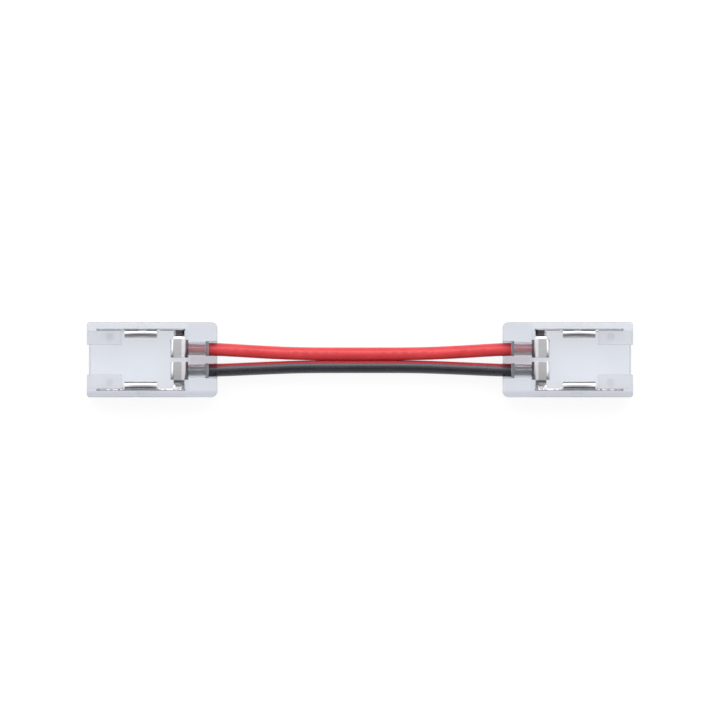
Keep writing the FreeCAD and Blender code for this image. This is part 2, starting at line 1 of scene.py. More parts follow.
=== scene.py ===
"""A lead that joins two 8 mm light strips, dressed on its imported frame.

A clear housing at each end holds two plated contacts, and a red and black twin wire
runs between them. Everything is in metres, in the frame's own axes: the wires run
along X, the red one on the +Y side, and the housings stand on Z = 0.
"""
import json
import math

import bpy
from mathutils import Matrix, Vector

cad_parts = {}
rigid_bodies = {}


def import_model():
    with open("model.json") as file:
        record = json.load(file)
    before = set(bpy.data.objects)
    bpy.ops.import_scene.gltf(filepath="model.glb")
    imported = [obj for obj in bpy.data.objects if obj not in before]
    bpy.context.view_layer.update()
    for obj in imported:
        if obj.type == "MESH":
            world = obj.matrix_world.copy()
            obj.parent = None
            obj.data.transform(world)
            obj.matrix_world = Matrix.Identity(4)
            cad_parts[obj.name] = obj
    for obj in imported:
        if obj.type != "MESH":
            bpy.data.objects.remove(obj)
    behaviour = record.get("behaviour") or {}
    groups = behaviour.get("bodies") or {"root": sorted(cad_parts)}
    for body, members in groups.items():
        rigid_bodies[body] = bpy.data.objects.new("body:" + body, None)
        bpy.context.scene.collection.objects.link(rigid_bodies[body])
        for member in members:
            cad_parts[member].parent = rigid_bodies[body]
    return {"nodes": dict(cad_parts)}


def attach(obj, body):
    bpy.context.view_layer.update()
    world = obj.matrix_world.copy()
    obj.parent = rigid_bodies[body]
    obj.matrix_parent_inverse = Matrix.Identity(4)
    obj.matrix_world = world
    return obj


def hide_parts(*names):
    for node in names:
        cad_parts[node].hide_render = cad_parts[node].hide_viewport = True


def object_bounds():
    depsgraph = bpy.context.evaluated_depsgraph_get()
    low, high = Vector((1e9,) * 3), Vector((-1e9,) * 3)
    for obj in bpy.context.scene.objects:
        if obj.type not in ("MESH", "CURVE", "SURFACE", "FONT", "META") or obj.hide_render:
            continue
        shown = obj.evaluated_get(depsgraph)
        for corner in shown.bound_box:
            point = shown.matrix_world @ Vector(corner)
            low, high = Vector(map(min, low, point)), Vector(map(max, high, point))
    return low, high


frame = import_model()
cad_box = [list(corner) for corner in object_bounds()]
nodes = frame["nodes"]

# Camera. It looks straight down on the middle of the lead from well above, so that the
# housings at the two ends are seen almost square on, as a product shot shows them.
PICTURE_WIDTH = 0.1007
CAMERA_HEIGHT = 0.8
CAMERA_OFF_MIDDLE = -0.00004
HOUSING_TOP = cad_box[1][2]
SENSOR_WIDTH = 36.0
NEAREST_SEEN = 0.01
FARTHEST_SEEN = 20.0
camera_data = bpy.data.cameras.new("camera")
camera_data.sensor_width = SENSOR_WIDTH
camera_data.lens = SENSOR_WIDTH * (CAMERA_HEIGHT - HOUSING_TOP) / PICTURE_WIDTH
camera_data.clip_start = NEAREST_SEEN
camera_data.clip_end = FARTHEST_SEEN
camera = bpy.data.objects.new("camera", camera_data)
camera.location = (0.0, CAMERA_OFF_MIDDLE, CAMERA_HEIGHT)
bpy.context.collection.objects.link(camera)
bpy.context.scene.camera = camera

# Wire routes. Each wire leaves its contact level with the table, straight down its
# bore, and closes up to the other one, to which it is bonded for the middle 15 mm.
# The points run from the middle outwards, and the bonded run lies a hair off centre.
WIRE_DIAMETER = 0.0018
WIRE_AXIS_HEIGHT = 0.0021
HOUSING_FACE = 0.020
BORE_SIDE = 0.00155
BONDED_SIDE = 0.000892
BONDED_SHIFT = -0.00008
ROUTE_HALF = (
    (0.0075, BONDED_SIDE),
    (0.0125, 0.00106),
    (0.0216, BORE_SIDE),
    (0.02633, BORE_SIDE),
)
ROUTE_STEPS = 12


def draw_route(name, side):
    """One open spline along a wire's axis, on the +Y side or the -Y side."""
    outwards = []
    for along, across in ROUTE_HALF:
        shift = BONDED_SHIFT if along < HOUSING_FACE else 0.0
        outwards.append((along, across * side + shift))
    inwards = [(-along, across) for along, across in reversed(outwards)]
    points = inwards + [(0.0, BONDED_SIDE * side + BONDED_SHIFT)] + outwards
    data = bpy.data.curves.new(name, "CURVE")
    data.dimensions = "3D"
    data.resolution_u = ROUTE_STEPS
    spline = data.splines.new("NURBS")
    spline.points.add(len(points) - 1)
    for point, (along, across) in zip(spline.points, points):
        point.co = (along, across, WIRE_AXIS_HEIGHT, 1.0)
    spline.order_u = 3
    spline.use_endpoint_u = True
    route = bpy.data.objects.new(name, data)
    bpy.context.collection.objects.link(route)
    return route


def read_route(route):
    """The points of the route's smooth line, in order along +X."""
    line = bpy.data.meshes.new_from_object(route)
    points = sorted((vertex.co.copy() for vertex in line.vertices), key=lambda p: p.x)
    bpy.data.meshes.remove(line)
    return points


# Insulation. Each wire has a jacket of soft PVC, 0.4 mm thick, drawn over its strands,
# with a narrow flat on the side where the two jackets were run together while hot. The
# red one is printed, and the black one has a red stripe on the side of the red wire.
JACKET_RADIUS = WIRE_DIAMETER / 2
JACKET_BORE = 0.000485
WEB_HALF = 0.00025
WEB_REACH = 0.000905
SECTION_POINTS = 64
MERGE_DISTANCE = 1e-7
CUT_DEPTH = 1e-5
JACKET_SMOOTH_ANGLE = math.radians(40)


def deselect_all():
    """Leaves nothing selected, so that an operator acts on the new piece alone."""
    for item in bpy.context.view_layer.objects:
        item.select_set(False)


def take_up(piece):
    """Makes a piece the one that operators act on."""
    deselect_all()
    piece.select_set(True)
    bpy.context.view_layer.objects.active = piece


def draw_section(name, side):
    """The jacket's outline and its bore, with the flat turned to the other wire."""
    data = bpy.data.curves.new(name, "CURVE")
    data.dimensions = "2D"
    for radius in (JACKET_RADIUS, JACKET_BORE):
        ring = data.splines.new("POLY")
        ring.points.add(SECTION_POINTS - 1)
        for step, point in enumerate(ring.points):
            turn = 2 * math.pi * step / SECTION_POINTS
            across = radius * math.cos(turn)
            up = radius * math.sin(turn)
            on_web = across * side < 0 and abs(up) < WEB_HALF
            if radius == JACKET_RADIUS and on_web:
                across = -side * WEB_REACH
            point.co = (across, up, 0.0, 1.0)
        ring.use_cyclic_u = True
    section = bpy.data.objects.new(name, data)
    bpy.context.collection.objects.link(section)
    return section


def close_ends(jacket):
    """Joins the outline to the bore at each cut end of the jacket."""
    reaches = [vertex.co.x for vertex in jacket.data.vertices]
    take_up(jacket)
    bpy.ops.object.mode_set(mode="EDIT")
    bpy.ops.mesh.select_all(action="SELECT")
    bpy.ops.mesh.remove_doubles(threshold=MERGE_DISTANCE)
    for end in (min(reaches), max(reaches)):
        bpy.ops.mesh.select_all(action="DESELECT")
        bpy.ops.mesh.select_mode(type="VERT")
        bpy.ops.object.mode_set(mode="OBJECT")
        for vertex in jacket.data.vertices:
            vertex.select = abs(vertex.co.x - end) < CUT_DEPTH
        bpy.ops.object.mode_set(mode="EDIT")
        bpy.ops.mesh.select_mode(type="EDGE")
        bpy.ops.mesh.bridge_edge_loops()
    bpy.ops.mesh.select_all(action="SELECT")
    bpy.ops.mesh.normals_make_consistent(inside=False)
    bpy.ops.object.mode_set(mode="OBJECT")


def lay_out_jacket(jacket, points):
    """Gives the jacket a UV map: U is the length along the wire, V the turn round it."""
    lengths = [0.0]
    for before, after in zip(points, points[1:]):
        lengths.append(lengths[-1] + (after - before).length)
    places = []
    for vertex in jacket.data.vertices:
        gaps = [(point - vertex.co).length_squared for point in points]
        nearest = gaps.index(min(gaps))
        across = vertex.co.y - points[nearest].y
        up = vertex.co.z - points[nearest].z
        turn = math.atan2(up, across) / (2 * math.pi) + 0.5
        places.append((lengths[nearest] / lengths[-1], turn))
    for layer in list(jacket.data.uv_layers):
        jacket.data.uv_layers.remove(layer)
    chart = jacket.data.uv_layers.new(name="around")
    for face in jacket.data.polygons:
        corners = [places[jacket.data.loops[corner].vertex_index] for corner in face.loop_indices]
        turns = [turn for _, turn in corners]
        crosses_seam = max(turns) - min(turns) > 0.5
        for corner, (along, turn) in zip(face.loop_indices, corners):
            past_seam = crosses_seam and turn < 0.5
            chart.data[corner].uv = (along, turn + 1.0 if past_seam else turn)


def make_jacket(name, side):
    """Draws one wire's jacket along its route."""
    route = draw_route(name + "_route", side)
    points = read_route(route)
    section = draw_section(name + "_section", side)
    route.data.bevel_mode = "OBJECT"
    route.data.bevel_object = section
    take_up(route)
    bpy.ops.object.convert(target="MESH")
    jacket = bpy.context.object
    jacket.name = jacket.data.name = name
    bpy.data.objects.remove(section)
    close_ends(jacket)
    lay_out_jacket(jacket, points)
    take_up(jacket)
    bpy.ops.object.shade_smooth_by_angle(angle=JACKET_SMOOTH_ANGLE)
    return jacket, points


class Recipe:
    """The nodes of one finish, and the few ways in which they are joined."""

    def __init__(self, tree):
        self.parts = tree.nodes
        self.links = tree.links

    def add(self, kind, **settings):
        """A node of a kind, with the values of its named inputs set."""
        node = self.parts.new(kind)
        for label, setting in settings.items():
            node.inputs[label.replace("_", " ")].default_value = setting
        return node

    def feed(self, value, socket):
        """Links an output to a socket, or sets the socket to a number."""
        if isinstance(value, (int, float)):
            socket.default_value = value
        else:
            self.links.new(value, socket)

    def split(self, vector):
        """The X, Y and Z of a vector, each by itself."""
        node = self.add("ShaderNodeSeparateXYZ")
        self.feed(vector, node.inputs["Vector"])
        return node.outputs["X"], node.outputs["Y"], node.outputs["Z"]

    def combine(self, operation, first, second=0.0):
        """One or two values taken together by a maths operation."""
        node = self.add("ShaderNodeMath")
        node.operation = operation
        self.feed(first, node.inputs[0])
        self.feed(second, node.inputs[1])
        return node.outputs["Value"]

    def grade(self, value, start, end, least=0.0, most=1.0):
        """Goes from the least at the start to the most at the end, and stays there."""
        node = self.add("ShaderNodeMapRange", From_Min=start, From_Max=end, To_Min=least, To_Max=most)
        self.feed(value, node.inputs["Value"])
        return node.outputs["Result"]

    def band(self, value, middle, half, soft):
        """1 within half of the middle, falling to 0 over a soft edge."""
        offset = self.combine("ABSOLUTE", self.combine("SUBTRACT", value, middle))
        return self.grade(offset, half, half + soft, 1.0, 0.0)

    def patch(self, along, across, middle, half, soft):
        """1 within a rectangle, falling to 0 over its soft edges."""
        lengthwise = self.band(along, middle[0], half[0], soft[0])
        crosswise = self.band(across, middle[1], half[1], soft[1])
        return self.combine("MULTIPLY", lengthwise, crosswise)

    def noise(self, place, scale, detail=2.0):
        """A cloudy pattern that is laid out by a place on the piece."""
        node = self.add("ShaderNodeTexNoise", Scale=scale, Detail=detail)
        self.feed(place, node.inputs["Vector"])
        return node.outputs["Fac"]

    def colour_steps(self, value, steps, sudden=False):
        """The colours of a list of places and colours, as the value passes each place."""
        ramp = self.add("ShaderNodeValToRGB")
        while len(ramp.color_ramp.elements) < len(steps):
            ramp.color_ramp.elements.new(0.5)
        for element, (place, colour) in zip(ramp.color_ramp.elements, steps):
            element.position = place
            element.color = (*colour, 1.0)
        if sudden:
            ramp.color_ramp.interpolation = "CONSTANT"
        self.feed(value, ramp.inputs["Fac"])
        return ramp.outputs["Color"]

    def mottle(self, pattern, darker, lighter, start=0.3, end=0.7):
        """Two like colours in clouds: the darker up to the start, the lighter from the end."""
        return self.colour_steps(pattern, ((start, darker), (end, lighter)))

    def lay_over(self, share, under, colour):
        """A colour laid over another one by a share from 0 to 1."""
        mix = self.add("ShaderNodeMix")
        mix.data_type = "RGBA"
        self.feed(share, mix.inputs[0])
        self.feed(under, mix.inputs[6])
        mix.inputs[7].default_value = (*colour, 1.0)
        return mix.outputs[2]

    def bump(self, height, strength, depth):
        """A bump node over a pattern of heights, each of them times the depth."""
        node = self.add("ShaderNodeBump", Strength=strength, Distance=depth)
        self.feed(height, node.inputs["Height"])
        return node


def start_finish(name):
    """A new material, its recipe and its shader."""
    material = bpy.data.materials.new(name)
    material.use_nodes = True
    shader = material.node_tree.nodes["Principled BSDF"]
    return material, Recipe(material.node_tree), shader


CLOUD_SCALE = 420.0
CLOUD_START = 0.35
CLOUD_END = 0.65
DRAWN_LINES = (3.0, 90.0, 1.0)
DRAWN_LINE_STRENGTH = 0.25
DRAWN_LINE_DEPTH = 0.00002
PVC_CLOUDINESS = 0.35
PVC_LIGHT_REACH = 0.0006


def soft_pvc(name, colour, darker, glossiest, dullest):
    """Satin wire jacket: a slightly cloudy colour, fine lines from the die along its length,
    and small rubbed patches where it shines less."""
    material, recipe, shader = start_finish(name)
    place = recipe.add("ShaderNodeTexCoord").outputs["Object"]
    cloud = recipe.noise(place, CLOUD_SCALE, detail=5.0)
    tint = recipe.mottle(cloud, darker, colour, CLOUD_START, CLOUD_END)
    recipe.feed(tint, shader.inputs["Base Color"])
    dullness = recipe.grade(cloud, 0.0, 1.0, glossiest, dullest)
    recipe.feed(dullness, shader.inputs["Roughness"])

    chart = recipe.add("ShaderNodeUVMap")
    chart.uv_map = "around"
    drawn = recipe.add("ShaderNodeMapping", Scale=DRAWN_LINES)
    recipe.feed(chart.outputs["UV"], drawn.inputs["Vector"])
    lines = recipe.noise(drawn.outputs["Vector"], 1.0, detail=3.0)
    fine_lines = recipe.bump(lines, DRAWN_LINE_STRENGTH, DRAWN_LINE_DEPTH)
    recipe.feed(fine_lines.outputs["Normal"], shader.inputs["Normal"])
    shader.inputs["Subsurface Weight"].default_value = PVC_CLOUDINESS
    shader.inputs["Subsurface Scale"].default_value = PVC_LIGHT_REACH
    along, turn, _ = recipe.split(chart.outputs["UV"])
    return material, recipe, shader, tint, along, turn


RED = (0.76, 0.060, 0.070)
RED_SHADE = (0.70, 0.050, 0.058)
RED_GLOSSIEST = 0.30
RED_DULLEST = 0.46
INK = (0.46, 0.030, 0.040)
BARE = (0.0, 0.0, 0.0)
PRINTED = (1.0, 1.0, 1.0)
PRINT_GROUPS = ((0.16, 0.245), (0.305, 0.44), (0.555, 0.695), (0.755, 0.845))
PRINT_TURN = 0.72
PRINT_HALF = 0.02
PRINT_SOFT = 0.02
DASHES = 38.0
DASH_MIDDLE = 0.5
DASH_HALF = 0.24
DASH_SOFT = 0.08
FADE_SCALE = 700.0
FADE_START = 0.3
FADE_END = 0.7
FAINTEST_INK = 0.15
FULLEST_INK = 0.6
BLACK = (0.036, 0.036, 0.044)
BLACK_SHADE = (0.029, 0.029, 0.036)
BLACK_GLOSSIEST = 0.20
BLACK_DULLEST = 0.34
BLACK_SHINE = 0.75
STRIPE = (0.42, 0.028, 0.045)
STRIPE_TURN = 0.5
STRIPE_HALF = 0.15
STRIPE_SOFT = 0.008


def red_wire_pvc():
    """Red, with groups of faint broken dashes of darker ink along the upper side."""
    material, recipe, shader, tint, along, turn = soft_pvc(
        "red_pvc", RED, RED_SHADE, RED_GLOSSIEST, RED_DULLEST
    )
    row = recipe.band(turn, PRINT_TURN, PRINT_HALF, PRINT_SOFT)
    steps = [(0.0, BARE)]
    for start, end in PRINT_GROUPS:
        steps.append((start, PRINTED))
        steps.append((end, BARE))
    groups = recipe.colour_steps(along, steps, sudden=True)
    repeat = recipe.combine("FRACT", recipe.combine("MULTIPLY", along, DASHES))
    dash = recipe.band(repeat, DASH_MIDDLE, DASH_HALF, DASH_SOFT)
    place = recipe.add("ShaderNodeTexCoord").outputs["Object"]
    worn = recipe.noise(place, FADE_SCALE)
    strength = recipe.grade(worn, FADE_START, FADE_END, FAINTEST_INK, FULLEST_INK)
    inked = recipe.combine("MULTIPLY", row, groups)
    inked = recipe.combine("MULTIPLY", inked, dash)
    inked = recipe.combine("MULTIPLY", inked, strength)
    recipe.feed(recipe.lay_over(inked, tint, INK), shader.inputs["Base Color"])
    return material


def black_wire_pvc():
    """Black, with a red stripe run in along the side that meets the red wire."""
    material, recipe, shader, tint, _, turn = soft_pvc(
        "black_pvc", BLACK, BLACK_SHADE, BLACK_GLOSSIEST, BLACK_DULLEST
    )
    shader.inputs["Specular IOR Level"].default_value = BLACK_SHINE
    stripe = recipe.band(turn, STRIPE_TURN, STRIPE_HALF, STRIPE_SOFT)
    recipe.feed(recipe.lay_over(stripe, tint, STRIPE), shader.inputs["Base Color"])
    return material


STRAND_NUMBERS = range(1, 8)
for colour_word, side, pvc in (("red", 1, red_wire_pvc()), ("black", -1, black_wire_pvc())):
    jacket, points = make_jacket(colour_word + "_jacket", side)
    jacket.data.materials.clear()
    jacket.data.materials.append(pvc)
    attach(jacket, "root")
    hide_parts(colour_word + "_insulation")

# Strands. Seven wires of soft copper, tinned in a hot bath, lie in each jacket, one in
# the middle and six round it, and are cut off level with it under the contact's plate.
TIN_SHADE = (0.62, 0.58, 0.55)
TIN = (0.80, 0.79, 0.78)
TIN_GLOSSIEST = 0.25
TIN_DULLEST = 0.4
TIN_GRAIN_SCALE = 3000.0


def tinned_copper():
    """Dull tin in which the copper shows warm through the grain."""
    material, recipe, shader = start_finish("tinned_copper")
    shader.inputs["Metallic"].default_value = 1.0
    grain = recipe.noise(recipe.add("ShaderNodeTexCoord").outputs["Object"], TIN_GRAIN_SCALE)
    recipe.feed(recipe.mottle(grain, TIN_SHADE, TIN), shader.inputs["Base Color"])
    dullness = recipe.grade(grain, 0.0, 1.0, TIN_GLOSSIEST, TIN_DULLEST)
    recipe.feed(dullness, shader.inputs["Roughness"])
    return material


tin = tinned_copper()
for colour_word in ("red", "black"):
    for number in STRAND_NUMBERS:
        strand = nodes[f"{colour_word}_strand_{number}"]
        strand.data.materials.clear()
        strand.data.materials.append(tin)

# Contacts. Each is one stamping of nickel-plated spring metal: a sheet on edge in the
# wall, a finger that presses on the strip, and a fork that cuts into the wire. Places on
# it are distances from the lead's middle, from its centre line and from the table.
FLAT_ANGLE = math.radians(0.6)
SMOOTH_ANGLE = math.radians(32)
EASED_EDGE = 0.00003
EASED_ANGLE = math.radians(50)
NICKEL_SHADE = (0.735, 0.725, 0.735)
NICKEL = (0.79, 0.78, 0.795)
NICKEL_GLOSSIEST = 0.14
NICKEL_DULLEST = 0.24
ROLLED_GRAIN_SCALE = 600.0
ROLLED_GRAIN_STRETCH = (1.0, 5.0, 5.0)
ROLLED_GRAIN_STRENGTH = 0.06
ROLLED_GRAIN_DEPTH = 0.00001
# Painted shade on the contact legs beside the bore.
PAINTED_LEG_SHADE = (0.42, 0.395, 0.415)
LEG_SHADE_START = 0.02462
LEG_SHADE_FULL = 0.02448
# Painted highlight on the top edges of the near sheets.
SHEARED_HIGHLIGHT = (0.97, 0.97, 0.98)
SHEARED_ABOVE = 0.00285
SHEARED_BELOW = 0.00302
SHEARED_BEYOND = -0.00405
SHEARED_WAVE = 3300.0
SHEARED_WAVE_HEIGHT = 0.00009
# Painted shade on the far arms where they bend hardest.
PAINTED_ARM_SHADE = (0.17, 0.155, 0.165)
ARM_SHADE_MIDDLE = (0.02508, 0.00378)
ARM_SHADE_HALF = (0.00075, 0.00034)
ARM_SHADE_SOFT = (0.0001, 0.00008)
PRESSED_EDGE = 0.0245
PRESSED_FLAT = 0.02498
PRESSED_DEPTH = 0.00009


def merged_copy(node_name, piece_name):
    """A copy of a node as one closed skin, its flat faces freed of their triangles."""
    piece = bpy.data.objects.new(piece_name, nodes[node_name].data.copy())
    piece.data.name = piece_name
    bpy.context.collection.objects.link(piece)
    take_up(piece)
    bpy.ops.object.mode_set(mode="EDIT")
    bpy.ops.mesh.select_all(action="SELECT")
    bpy.ops.mesh.remove_doubles(threshold=MERGE_DISTANCE)
    bpy.ops.mesh.dissolve_limited(angle_limit=FLAT_ANGLE)
    bpy.ops.object.mode_set(mode="OBJECT")
    bpy.ops.mesh.customdata_custom_splitnormals_clear()
    piece.data.materials.clear()
    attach(piece, "root")
    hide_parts(node_name)
    return piece


def ease_edges(piece):
    """Rounds the stamping's sharp edges a little."""
    take_up(piece)
    bevel = piece.modifiers.new("eased_edges", "BEVEL")
    bevel.width = EASED_EDGE
    bevel.segments = 2
    bevel.limit_method = "ANGLE"
    bevel.angle_limit = EASED_ANGLE
    bevel.use_clamp_overlap = True
    bpy.ops.object.modifier_apply(modifier=bevel.name)


def shade_evenly(piece):
    """Shades bends and rounded edges smooth, and keeps the broad flats flat."""
    take_up(piece)
    bpy.ops.object.shade_smooth_by_angle(angle=SMOOTH_ANGLE)
    weighted = piece.modifiers.new("broad_flats", "WEIGHTED_NORMAL")
    weighted.keep_sharp = True
    bpy.ops.object.modifier_apply(modifier=weighted.name)


def nickel_plate():
    """Satin nickel with the grain of the rolled strip. It has painted shade on the legs beside
    the bore, a painted highlight and a wavy bump on the sheared edges of the near sheets, and
    painted shade where the far arms are bent hardest. The plates' edges beside the bore are pressed
    down."""
    material, recipe, shader = start_finish("nickel_plate")
    shader.inputs["Metallic"].default_value = 1.0
    place = recipe.add("ShaderNodeTexCoord").outputs["Object"]
    along, across, up = recipe.split(place)
    from_middle = recipe.combine("ABSOLUTE", along)

    rolled = recipe.add("ShaderNodeMapping", Scale=ROLLED_GRAIN_STRETCH)
    recipe.feed(place, rolled.inputs["Vector"])
    grain = recipe.noise(rolled.outputs["Vector"], ROLLED_GRAIN_SCALE, detail=5.0)
    dullness = recipe.grade(grain, 0.0, 1.0, NICKEL_GLOSSIEST, NICKEL_DULLEST)
    recipe.feed(dullness, shader.inputs["Roughness"])

    # Painted shade darkens the legs beside the bore.
    leg_shade = recipe.grade(from_middle, LEG_SHADE_START, LEG_SHADE_FULL)
    # Painted highlight on the near sheets' top edges; the same mask also carries the sheared edge's
    # wavy bump.
    sheared_edge_and_highlight = recipe.combine("GREATER_THAN", up, SHEARED_ABOVE)
    sheared_edge_and_highlight = recipe.combine("MULTIPLY", sheared_edge_and_highlight, recipe.combine("LESS_THAN", up, SHEARED_BELOW))
    sheared_edge_and_highlight = recipe.combine("MULTIPLY", sheared_edge_and_highlight, recipe.combine("LESS_THAN", across, SHEARED_BEYOND))
    # Painted shade on the far arms' bend.
    arm_shade = recipe.patch(from_middle, across, ARM_SHADE_MIDDLE, ARM_SHADE_HALF, ARM_SHADE_SOFT)
    tone = recipe.mottle(grain, NICKEL_SHADE, NICKEL)
    tone = recipe.lay_over(leg_shade, tone, PAINTED_LEG_SHADE)
    tone = recipe.lay_over(sheared_edge_and_highlight, tone, SHEARED_HIGHLIGHT)
    tone = recipe.lay_over(arm_shade, tone, PAINTED_ARM_SHADE)
    recipe.feed(tone, shader.inputs["Base Color"])

    wave = recipe.combine("SINE", recipe.combine("MULTIPLY", from_middle, SHEARED_WAVE))
    wave = recipe.combine("MULTIPLY", wave, SHEARED_WAVE_HEIGHT)
    wave = recipe.combine("MULTIPLY", wave, sheared_edge_and_highlight)
    pressed = recipe.grade(from_middle, PRESSED_EDGE, PRESSED_FLAT, 0.0, PRESSED_DEPTH)
    forms = recipe.bump(recipe.combine("ADD", pressed, wave), strength=1.0, depth=1.0)
    fine_grain = recipe.bump(grain, ROLLED_GRAIN_STRENGTH, ROLLED_GRAIN_DEPTH)
    recipe.feed(fine_grain.outputs["Normal"], forms.inputs["Normal"])
    recipe.feed(forms.outputs["Normal"], shader.inputs["Normal"])
    return material


plate = nickel_plate()
for end in ("left", "right"):
    for pole in ("positive", "negative"):
        contact = merged_copy(f"{end}_{pole}_contact", f"{end}_{pole}_spring")
        ease_edges(contact)
        shade_evenly(contact)
        contact.data.materials.append(plate)

# Housings. Each is one moulding of clear, slightly milky polycarbonate, polished all over.
# It is deeper in tone under the roof beside the wires, has painted shade along the near
# wall, between the wires and on faces seen on edge, and painted light in the far wall's
# relief. The mould's ejector pins left a round mark on each ear, darkened with painted
# shade. Places are given as on the contacts.
CLEAR_SHADE = (0.875, 0.91, 0.975)
CLEAR = (0.895, 0.925, 0.99)
CLEAR_GLOSSIEST = 0.05
CLEAR_DULLEST = 0.13
CLEARNESS = 0.91
POLYCARBONATE_IOR = 1.52
FLOW_SCALE = 260.0
RIPPLE_SCALE = 900.0
RIPPLE_STRENGTH = 0.03
RIPPLE_DEPTH = 0.00001
EAR_TONE = (0.925, 0.94, 0.975)
EAR_MIDDLE = (0.0358, 0.00305)
EAR_HALF = (0.00235, 0.00092)
EAR_SOFT = (0.00006, 0.00006)
# Painted shade darkens the ejector pin marks.
PIN_MARK_SHADE = (0.80, 0.815, 0.87)
PIN_FROM_MIDDLE = 0.0351
PIN_OFF_LINE = 0.0032
PIN_OUTER_RADIUS = 0.00075
PIN_INNER_RADIUS = 0.00035
PIN_SHARE = 0.45
# Deeper tone under the roof, and painted shade along the near wall.
THICK_AND_SHADED_TONE = (0.70, 0.72, 0.79)
ROOF_START = 0.0246
ROOF_FULL = 0.0236
ROOF_SHARE = 0.32
OVER_WIRE_HALF = 0.0007
OVER_WIRE_SOFT = 0.0003
NEAR_WALL_START = -0.0039
NEAR_WALL_FULL = -0.0047
# Painted shade, with a faint red cast from the wires, between the wires under the roof.
BETWEEN_WIRES_SHADE = (0.68, 0.645, 0.70)
BETWEEN_WIRES_HALF = 0.0004
BETWEEN_WIRES_SOFT = 0.0006
# Painted shade on faces and rounded edges seen on edge.
EDGE_SHADE = (0.40, 0.41, 0.46)
FLAT_FACE = 0.97
STEEP_FACE = 0.45
EDGE_SHARE = 0.9
# Painted light in the relief pocket of the far wall.
RELIEF_LIGHT = (0.92, 0.94, 0.99)
RELIEF_MIDDLE = (0.030425, 0.00463)
RELIEF_HALF = (0.00058, 0.00022)
RELIEF_SOFT = (0.00005, 0.00003)


def clear_polycarbonate():
    """Clear plastic with faint flow marks, deeper in tone under the roof beside the wires, with
    painted shade along the near wall, between the wires, on faces seen on edge and on the pin
    marks, and painted light in the relief of the far wall."""
    material, recipe, shader = start_finish("clear_polycarbonate")
    shader.inputs["Transmission Weight"].default_value = CLEARNESS
    shader.inputs["IOR"].default_value = POLYCARBONATE_IOR
    place = recipe.add("ShaderNodeTexCoord").outputs["Object"]
    along, across, _ = recipe.split(place)
    from_middle = recipe.combine("ABSOLUTE", along)
    off_line = recipe.combine("ABSOLUTE", across)

    in_ear = recipe.patch(from_middle, off_line, EAR_MIDDLE, EAR_HALF, EAR_SOFT)
    pin_away = recipe.add("ShaderNodeCombineXYZ")
    recipe.feed(recipe.combine("SUBTRACT", from_middle, PIN_FROM_MIDDLE), pin_away.inputs["X"])
    recipe.feed(recipe.combine("SUBTRACT", off_line, PIN_OFF_LINE), pin_away.inputs["Y"])
    pin_distance = recipe.add("ShaderNodeVectorMath")
    pin_distance.operation = "LENGTH"
    recipe.feed(pin_away.outputs["Vector"], pin_distance.inputs[0])
    # Painted shade in the ejector pin marks.
    pin_mark_shade = recipe.grade(
        pin_distance.outputs["Value"], PIN_OUTER_RADIUS, PIN_INNER_RADIUS, 0.0, PIN_SHARE
    )

    under_roof = recipe.grade(from_middle, ROOF_START, ROOF_FULL)
    over_wire = recipe.band(off_line, BORE_SIDE, OVER_WIRE_HALF, OVER_WIRE_SOFT)
    thick_roof = recipe.combine("MULTIPLY", under_roof, ROOF_SHARE)
    thick_roof = recipe.combine("SUBTRACT", thick_roof, over_wire)
    # Painted shade along the near (-Y) wall.
    near_wall_shade = recipe.grade(across, NEAR_WALL_START, NEAR_WALL_FULL)
    thick_and_shaded = recipe.combine("MAXIMUM", thick_roof, near_wall_shade)
    # Painted shade between the wires under the roof.
    between_wires_shade = recipe.band(across, 0.0, BETWEEN_WIRES_HALF, BETWEEN_WIRES_SOFT)
    between_wires_shade = recipe.combine("MULTIPLY", under_roof, between_wires_shade)

    # Painted shade where the surface is seen on edge.
    _, _, upwards = recipe.split(recipe.add("ShaderNodeNewGeometry").outputs["Normal"])
    level = recipe.combine("ABSOLUTE", upwards)
    edge_shade = recipe.grade(level, FLAT_FACE, STEEP_FACE, 0.0, EDGE_SHARE)
    # Painted light in the far wall's relief pocket.
    relief_light = recipe.patch(from_middle, across, RELIEF_MIDDLE, RELIEF_HALF, RELIEF_SOFT)

    flow = recipe.noise(place, FLOW_SCALE, detail=3.0)
    tone = recipe.mottle(flow, CLEAR_SHADE, CLEAR)
    tone = recipe.lay_over(in_ear, tone, EAR_TONE)
    tone = recipe.lay_over(pin_mark_shade, tone, PIN_MARK_SHADE)
    tone = recipe.lay_over(thick_and_shaded, tone, THICK_AND_SHADED_TONE)
    tone = recipe.lay_over(between_wires_shade, tone, BETWEEN_WIRES_SHADE)
    tone = recipe.lay_over(edge_shade, tone, EDGE_SHADE)
    tone = recipe.lay_over(relief_light, tone, RELIEF_LIGHT)
    recipe.feed(tone, shader.inputs["Base Color"])
    dullness = recipe.grade(flow, 0.0, 1.0, CLEAR_GLOSSIEST, CLEAR_DULLEST)
    recipe.feed(dullness, shader.inputs["Roughness"])
    ripple = recipe.bump(recipe.noise(place, RIPPLE_SCALE), RIPPLE_STRENGTH, RIPPLE_DEPTH)
    recipe.feed(ripple.outputs["Normal"], shader.inputs["Normal"])
    return material


clear = clear_polycarbonate()
for end in ("left", "right"):
    housing = merged_copy(f"{end}_housing", f"{end}_moulding")
    shade_evenly(housing)
    housing.data.materials.append(clear)

# Table. A plain white sheet, a hair below the housings, that shows white to the camera
# and through the plastic, and keeps the lead's shadow.
TABLE_SIZE = 6.0
TABLE_GAP = 0.00002
PAPER = (0.8, 0.8, 0.8, 1.0)
PAPER_UNDER_GLOW = (0.14, 0.14, 0.14, 1.0)
GLOW = 0.9
GLOW_THROUGH_PLASTIC = 0.85


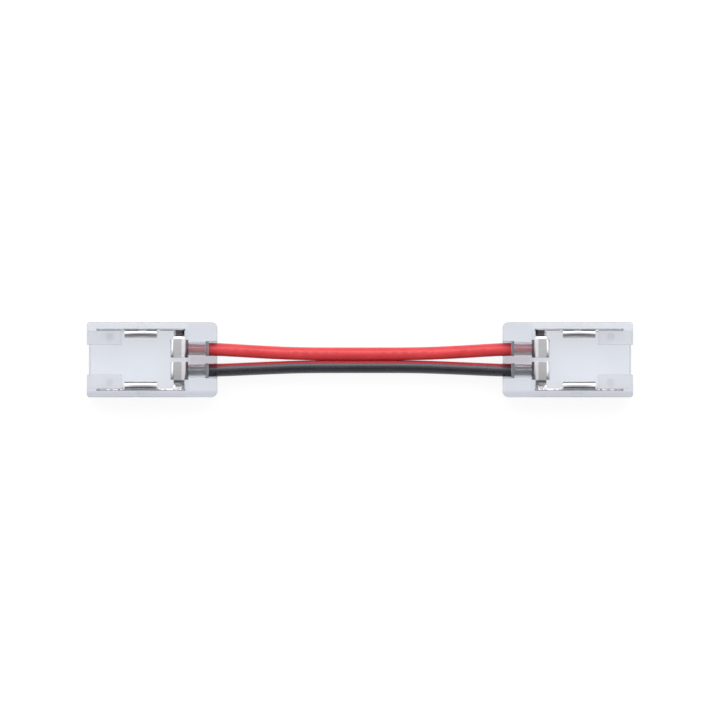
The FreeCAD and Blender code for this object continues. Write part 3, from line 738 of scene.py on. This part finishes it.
def white_sheet():
    """White paper that glows where it is seen, so that only the shadow tones it."""
    material, recipe, shader = start_finish("white_sheet")
    recipe.parts.remove(shader)
    ray = recipe.add("ShaderNodeLightPath").outputs
    seen = recipe.combine("MAXIMUM", ray["Is Camera Ray"], ray["Is Glossy Ray"])
    seen = recipe.combine("MAXIMUM", seen, ray["Is Transmission Ray"])
    paper = recipe.add("ShaderNodeBsdfDiffuse", Color=PAPER)
    shaded = recipe.add("ShaderNodeBsdfDiffuse", Color=PAPER_UNDER_GLOW)
    glow = recipe.add("ShaderNodeEmission")
    strength = recipe.grade(ray["Is Transmission Ray"], 0.0, 1.0, GLOW, GLOW_THROUGH_PLASTIC)
    recipe.feed(strength, glow.inputs["Strength"])
    both = recipe.add("ShaderNodeAddShader")
    recipe.feed(shaded.outputs["BSDF"], both.inputs[0])
    recipe.feed(glow.outputs["Emission"], both.inputs[1])
    choice = recipe.add("ShaderNodeMixShader")
    recipe.feed(seen, choice.inputs["Fac"])
    recipe.feed(paper.outputs["BSDF"], choice.inputs[1])
    recipe.feed(both.outputs["Shader"], choice.inputs[2])
    recipe.feed(choice.outputs["Shader"], recipe.parts["Material Output"].inputs["Surface"])
    return material


deselect_all()
bpy.ops.mesh.primitive_plane_add(size=TABLE_SIZE, location=(0.0, 0.0, -TABLE_GAP))
table = bpy.context.object
table.name = "table"
table.data.materials.append(white_sheet())

# Studio light. A pale tent, greyer overhead where the camera looks in and darker on the
# near side, and one wide soft lamp above the far side that lays the bright bands on metal.
TENT_BY_HEIGHT = (
    (0.0, (0.10, 0.10, 0.105)),
    (0.12, (0.16, 0.16, 0.165)),
    (0.28, (0.95, 0.95, 0.95)),
    (0.90, (1.0, 1.0, 1.0)),
    (0.97, (0.66, 0.66, 0.67)),
)
TENT_NEAR_TO_FAR = (
    (0.0, (0.62, 0.62, 0.63)),
    (0.09, (0.55, 0.55, 0.56)),
    (0.13, (0.09, 0.09, 0.095)),
    (0.36, (0.10, 0.10, 0.105)),
    (0.45, (0.75, 0.75, 0.76)),
    (0.5, (0.95, 0.95, 0.96)),
    (1.0, (0.95, 0.95, 0.95)),
)
TENT_SIDE_START = 0.22
TENT_SIDE_FULL = 0.5
TENT_SIDE_STRENGTH = 1.6
LAMP_WIDTH = 0.9
LAMP_DEPTH = 0.35
LAMP_POWER = 2.0
LAMP_PLACE = (0.0, 0.42, 0.48)

world = bpy.data.worlds.new("tent")
world.use_nodes = True
bpy.context.scene.world = world
recipe = Recipe(world.node_tree)
background = recipe.parts["Background"]
direction = recipe.add("ShaderNodeTexCoord").outputs["Generated"]
along, across, up = recipe.split(direction)
near_to_far = recipe.grade(across, -1.0, 1.0)
tent = recipe.add("ShaderNodeMix")
tent.data_type = "RGBA"
tent.blend_type = "MULTIPLY"
tent.inputs[0].default_value = 1.0
recipe.feed(recipe.colour_steps(up, TENT_BY_HEIGHT), tent.inputs[6])
recipe.feed(recipe.colour_steps(near_to_far, TENT_NEAR_TO_FAR), tent.inputs[7])
recipe.feed(tent.outputs[2], background.inputs["Color"])
to_side = recipe.combine("ABSOLUTE", along)
side_strength = recipe.grade(to_side, TENT_SIDE_START, TENT_SIDE_FULL, 1.0, TENT_SIDE_STRENGTH)
recipe.feed(side_strength, background.inputs["Strength"])

lamp_data = bpy.data.lights.new("softbox", "AREA")
lamp_data.shape = "RECTANGLE"
lamp_data.size = LAMP_WIDTH
lamp_data.size_y = LAMP_DEPTH
lamp_data.energy = LAMP_POWER
lamp = bpy.data.objects.new("softbox", lamp_data)
lamp.location = LAMP_PLACE
lamp.rotation_euler = (-lamp.location).to_track_quat("-Z", "Y").to_euler()
bpy.context.collection.objects.link(lamp)

bpy.context.scene.view_settings.view_transform = "Standard"
